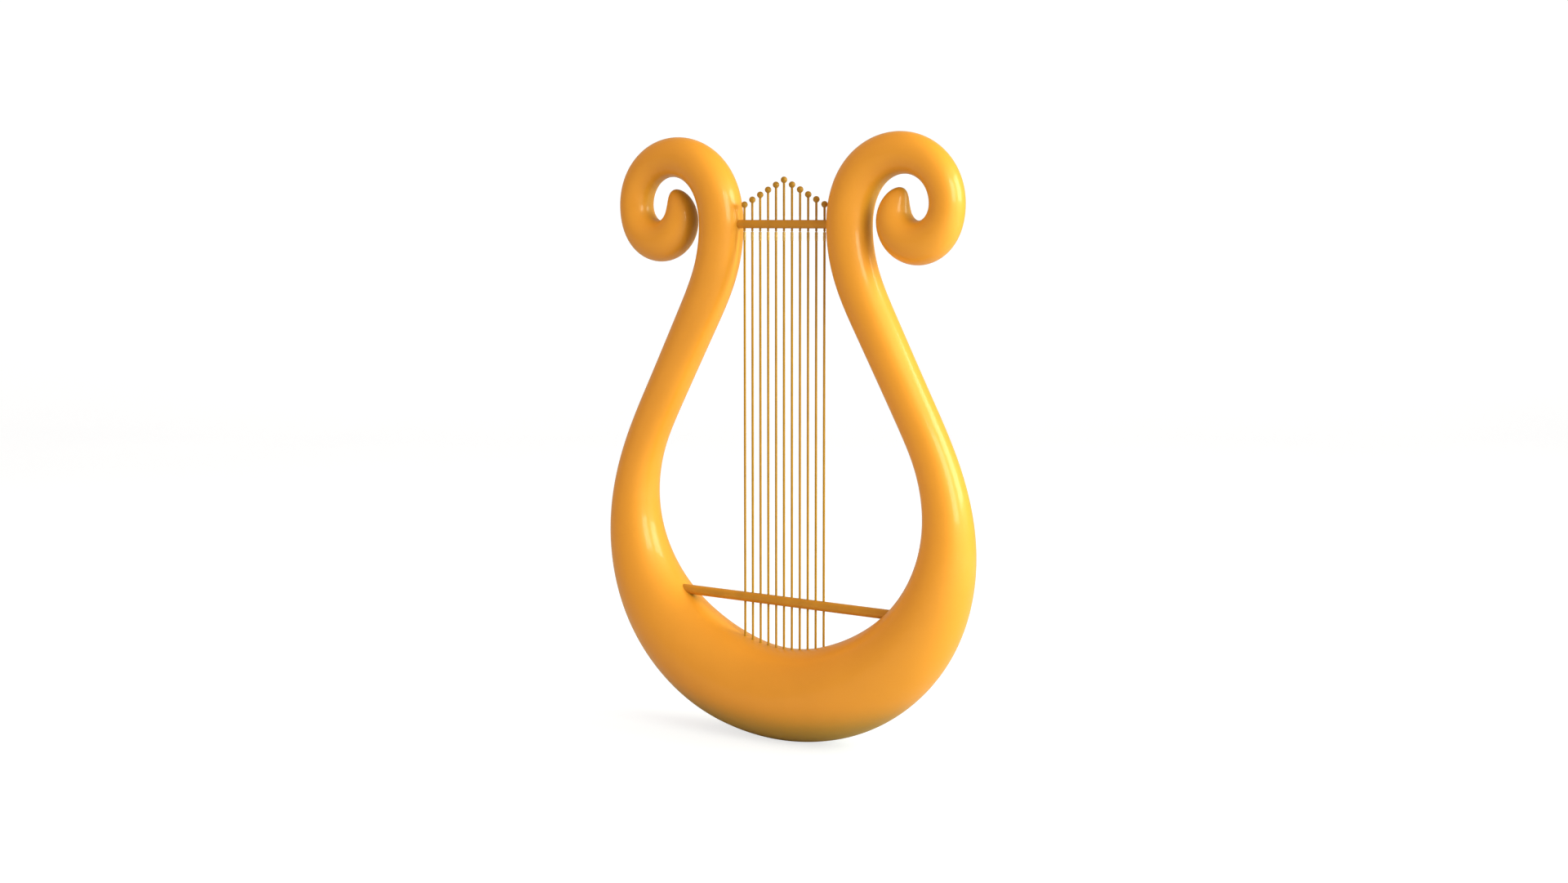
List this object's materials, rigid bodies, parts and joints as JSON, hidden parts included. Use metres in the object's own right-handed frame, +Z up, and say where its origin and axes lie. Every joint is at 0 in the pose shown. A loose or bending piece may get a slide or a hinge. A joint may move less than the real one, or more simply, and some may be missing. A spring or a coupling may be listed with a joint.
{
  "type": "lyre",
  "caption": "Hand lyre with a hollow crescent bowl, outward-curling scroll arms, a crossbar with ball-headed tuning screws, a bridge bar and straight strings.",
  "frame": {"origin": "centre of the small flat under the bowl, on the plane of the strings", "axes": "+Z up along the strings, +X across the strings, -Y towards the side that carries the bridge bar (the front)"},
  "size_m": [0.451, 0.096, 0.6266],
  "materials": {
    "gilded_wood": "carved wood, gilded and clear lacquered to a soft gloss",
    "bare_wood": "plain planed beech, hidden inside",
    "bar_brass": "satin bronze-gold lacquer",
    "string_bronze": "drawn bronze wire, slightly bright",
    "pin_brass": "polished bronze-gold",
    "fitting_brass": "small turned brass fittings"
  },
  "bodies": {
    "frame": {"bowl_front_shell": "gilded_wood", "bowl_back_shell": "gilded_wood", "left_arm": "gilded_wood", "right_arm": "gilded_wood", "left_scroll": "gilded_wood", "right_scroll": "gilded_wood", "left_end_block": "bare_wood", "right_end_block": "bare_wood", "arm_dowels": "bare_wood", "scroll_dowels": "bare_wood", "shell_pins": "bare_wood", "string_rail": "bare_wood", "string_anchors": "fitting_brass", "crossbar": "bar_brass", "bridge_bar": "bar_brass", "string_01": "string_bronze", "string_02": "string_bronze", "string_03": "string_bronze", "string_04": "string_bronze", "string_05": "string_bronze", "string_06": "string_bronze", "string_07": "string_bronze", "string_08": "string_bronze", "string_09": "string_bronze", "string_10": "string_bronze", "string_11": "string_bronze"},
    "carrier_01": {"swivel_01": "fitting_brass"},
    "tuner_01": {"tuning_pin_01": "pin_brass"},
    "carrier_02": {"swivel_02": "fitting_brass"},
    "tuner_02": {"tuning_pin_02": "pin_brass"},
    "carrier_03": {"swivel_03": "fitting_brass"},
    "tuner_03": {"tuning_pin_03": "pin_brass"},
    "carrier_04": {"swivel_04": "fitting_brass"},
    "tuner_04": {"tuning_pin_04": "pin_brass"},
    "carrier_05": {"swivel_05": "fitting_brass"},
    "tuner_05": {"tuning_pin_05": "pin_brass"},
    "carrier_06": {"swivel_06": "fitting_brass"},
    "tuner_06": {"tuning_pin_06": "pin_brass"},
    "carrier_07": {"swivel_07": "fitting_brass"},
    "tuner_07": {"tuning_pin_07": "pin_brass"},
    "carrier_08": {"swivel_08": "fitting_brass"},
    "tuner_08": {"tuning_pin_08": "pin_brass"},
    "carrier_09": {"swivel_09": "fitting_brass"},
    "tuner_09": {"tuning_pin_09": "pin_brass"},
    "carrier_10": {"swivel_10": "fitting_brass"},
    "tuner_10": {"tuning_pin_10": "pin_brass"},
    "carrier_11": {"swivel_11": "fitting_brass"},
    "tuner_11": {"tuning_pin_11": "pin_brass"}
  },
  "joints": [
    {"name": "lift_01", "type": "slide", "parent": "frame", "child": "carrier_01", "axis": [0, 0, 1], "range_m": [-0.0018, 0.0027], "deforming": ["string_01"]},
    {"name": "turn_01", "type": "hinge", "parent": "carrier_01", "child": "tuner_01", "pos_m": [-0.05, 0, 0.5355], "axis": [0, 0, 1], "range_deg": [-1450, 2170]},
    {"name": "lift_02", "type": "slide", "parent": "frame", "child": "carrier_02", "axis": [0, 0, 1], "range_m": [-0.0018, 0.0027], "deforming": ["string_02"]},
    {"name": "turn_02", "type": "hinge", "parent": "carrier_02", "child": "tuner_02", "pos_m": [-0.04, 0, 0.5355], "axis": [0, 0, 1], "range_deg": [-1450, 2170]},
    {"name": "lift_03", "type": "slide", "parent": "frame", "child": "carrier_03", "axis": [0, 0, 1], "range_m": [-0.0018, 0.0027], "deforming": ["string_03"]},
    {"name": "turn_03", "type": "hinge", "parent": "carrier_03", "child": "tuner_03", "pos_m": [-0.03, 0, 0.5355], "axis": [0, 0, 1], "range_deg": [-1450, 2170]},
    {"name": "lift_04", "type": "slide", "parent": "frame", "child": "carrier_04", "axis": [0, 0, 1], "range_m": [-0.0018, 0.0027], "deforming": ["string_04"]},
    {"name": "turn_04", "type": "hinge", "parent": "carrier_04", "child": "tuner_04", "pos_m": [-0.02, 0, 0.5355], "axis": [0, 0, 1], "range_deg": [-1450, 2170]},
    {"name": "lift_05", "type": "slide", "parent": "frame", "child": "carrier_05", "axis": [0, 0, 1], "range_m": [-0.0018, 0.0027], "deforming": ["string_05"]},
    {"name": "turn_05", "type": "hinge", "parent": "carrier_05", "child": "tuner_05", "pos_m": [-0.01, 0, 0.5355], "axis": [0, 0, 1], "range_deg": [-1450, 2170]},
    {"name": "lift_06", "type": "slide", "parent": "frame", "child": "carrier_06", "axis": [0, 0, 1], "range_m": [-0.0018, 0.0027], "deforming": ["string_06"]},
    {"name": "turn_06", "type": "hinge", "parent": "carrier_06", "child": "tuner_06", "pos_m": [0, 0, 0.5355], "axis": [0, 0, 1], "range_deg": [-1450, 2170]},
    {"name": "lift_07", "type": "slide", "parent": "frame", "child": "carrier_07", "axis": [0, 0, 1], "range_m": [-0.0018, 0.0027], "deforming": ["string_07"]},
    {"name": "turn_07", "type": "hinge", "parent": "carrier_07", "child": "tuner_07", "pos_m": [0.01, 0, 0.5355], "axis": [0, 0, 1], "range_deg": [-1450, 2170]},
    {"name": "lift_08", "type": "slide", "parent": "frame", "child": "carrier_08", "axis": [0, 0, 1], "range_m": [-0.0018, 0.0027], "deforming": ["string_08"]},
    {"name": "turn_08", "type": "hinge", "parent": "carrier_08", "child": "tuner_08", "pos_m": [0.02, 0, 0.5355], "axis": [0, 0, 1], "range_deg": [-1450, 2170]},
    {"name": "lift_09", "type": "slide", "parent": "frame", "child": "carrier_09", "axis": [0, 0, 1], "range_m": [-0.0018, 0.0027], "deforming": ["string_09"]},
    {"name": "turn_09", "type": "hinge", "parent": "carrier_09", "child": "tuner_09", "pos_m": [0.03, 0, 0.5355], "axis": [0, 0, 1], "range_deg": [-1450, 2170]},
    {"name": "lift_10", "type": "slide", "parent": "frame", "child": "carrier_10", "axis": [0, 0, 1], "range_m": [-0.0018, 0.0027], "deforming": ["string_10"]},
    {"name": "turn_10", "type": "hinge", "parent": "carrier_10", "child": "tuner_10", "pos_m": [0.04, 0, 0.5355], "axis": [0, 0, 1], "range_deg": [-1450, 2170]},
    {"name": "lift_11", "type": "slide", "parent": "frame", "child": "carrier_11", "axis": [0, 0, 1], "range_m": [-0.0018, 0.0027], "deforming": ["string_11"]},
    {"name": "turn_11", "type": "hinge", "parent": "carrier_11", "child": "tuner_11", "pos_m": [0.05, 0, 0.5355], "axis": [0, 0, 1], "range_deg": [-1450, 2170]}
  ],
  "couplings": [
    {"joint": "turn_01", "follows": "lift_01", "rad_per_m": 13963},
    {"joint": "turn_02", "follows": "lift_02", "rad_per_m": 13963},
    {"joint": "turn_03", "follows": "lift_03", "rad_per_m": 13963},
    {"joint": "turn_04", "follows": "lift_04", "rad_per_m": 13963},
    {"joint": "turn_05", "follows": "lift_05", "rad_per_m": 13963},
    {"joint": "turn_06", "follows": "lift_06", "rad_per_m": 13963},
    {"joint": "turn_07", "follows": "lift_07", "rad_per_m": 13963},
    {"joint": "turn_08", "follows": "lift_08", "rad_per_m": 13963},
    {"joint": "turn_09", "follows": "lift_09", "rad_per_m": 13963},
    {"joint": "turn_10", "follows": "lift_10", "rad_per_m": 13963},
    {"joint": "turn_11", "follows": "lift_11", "rad_per_m": 13963}
  ]
}
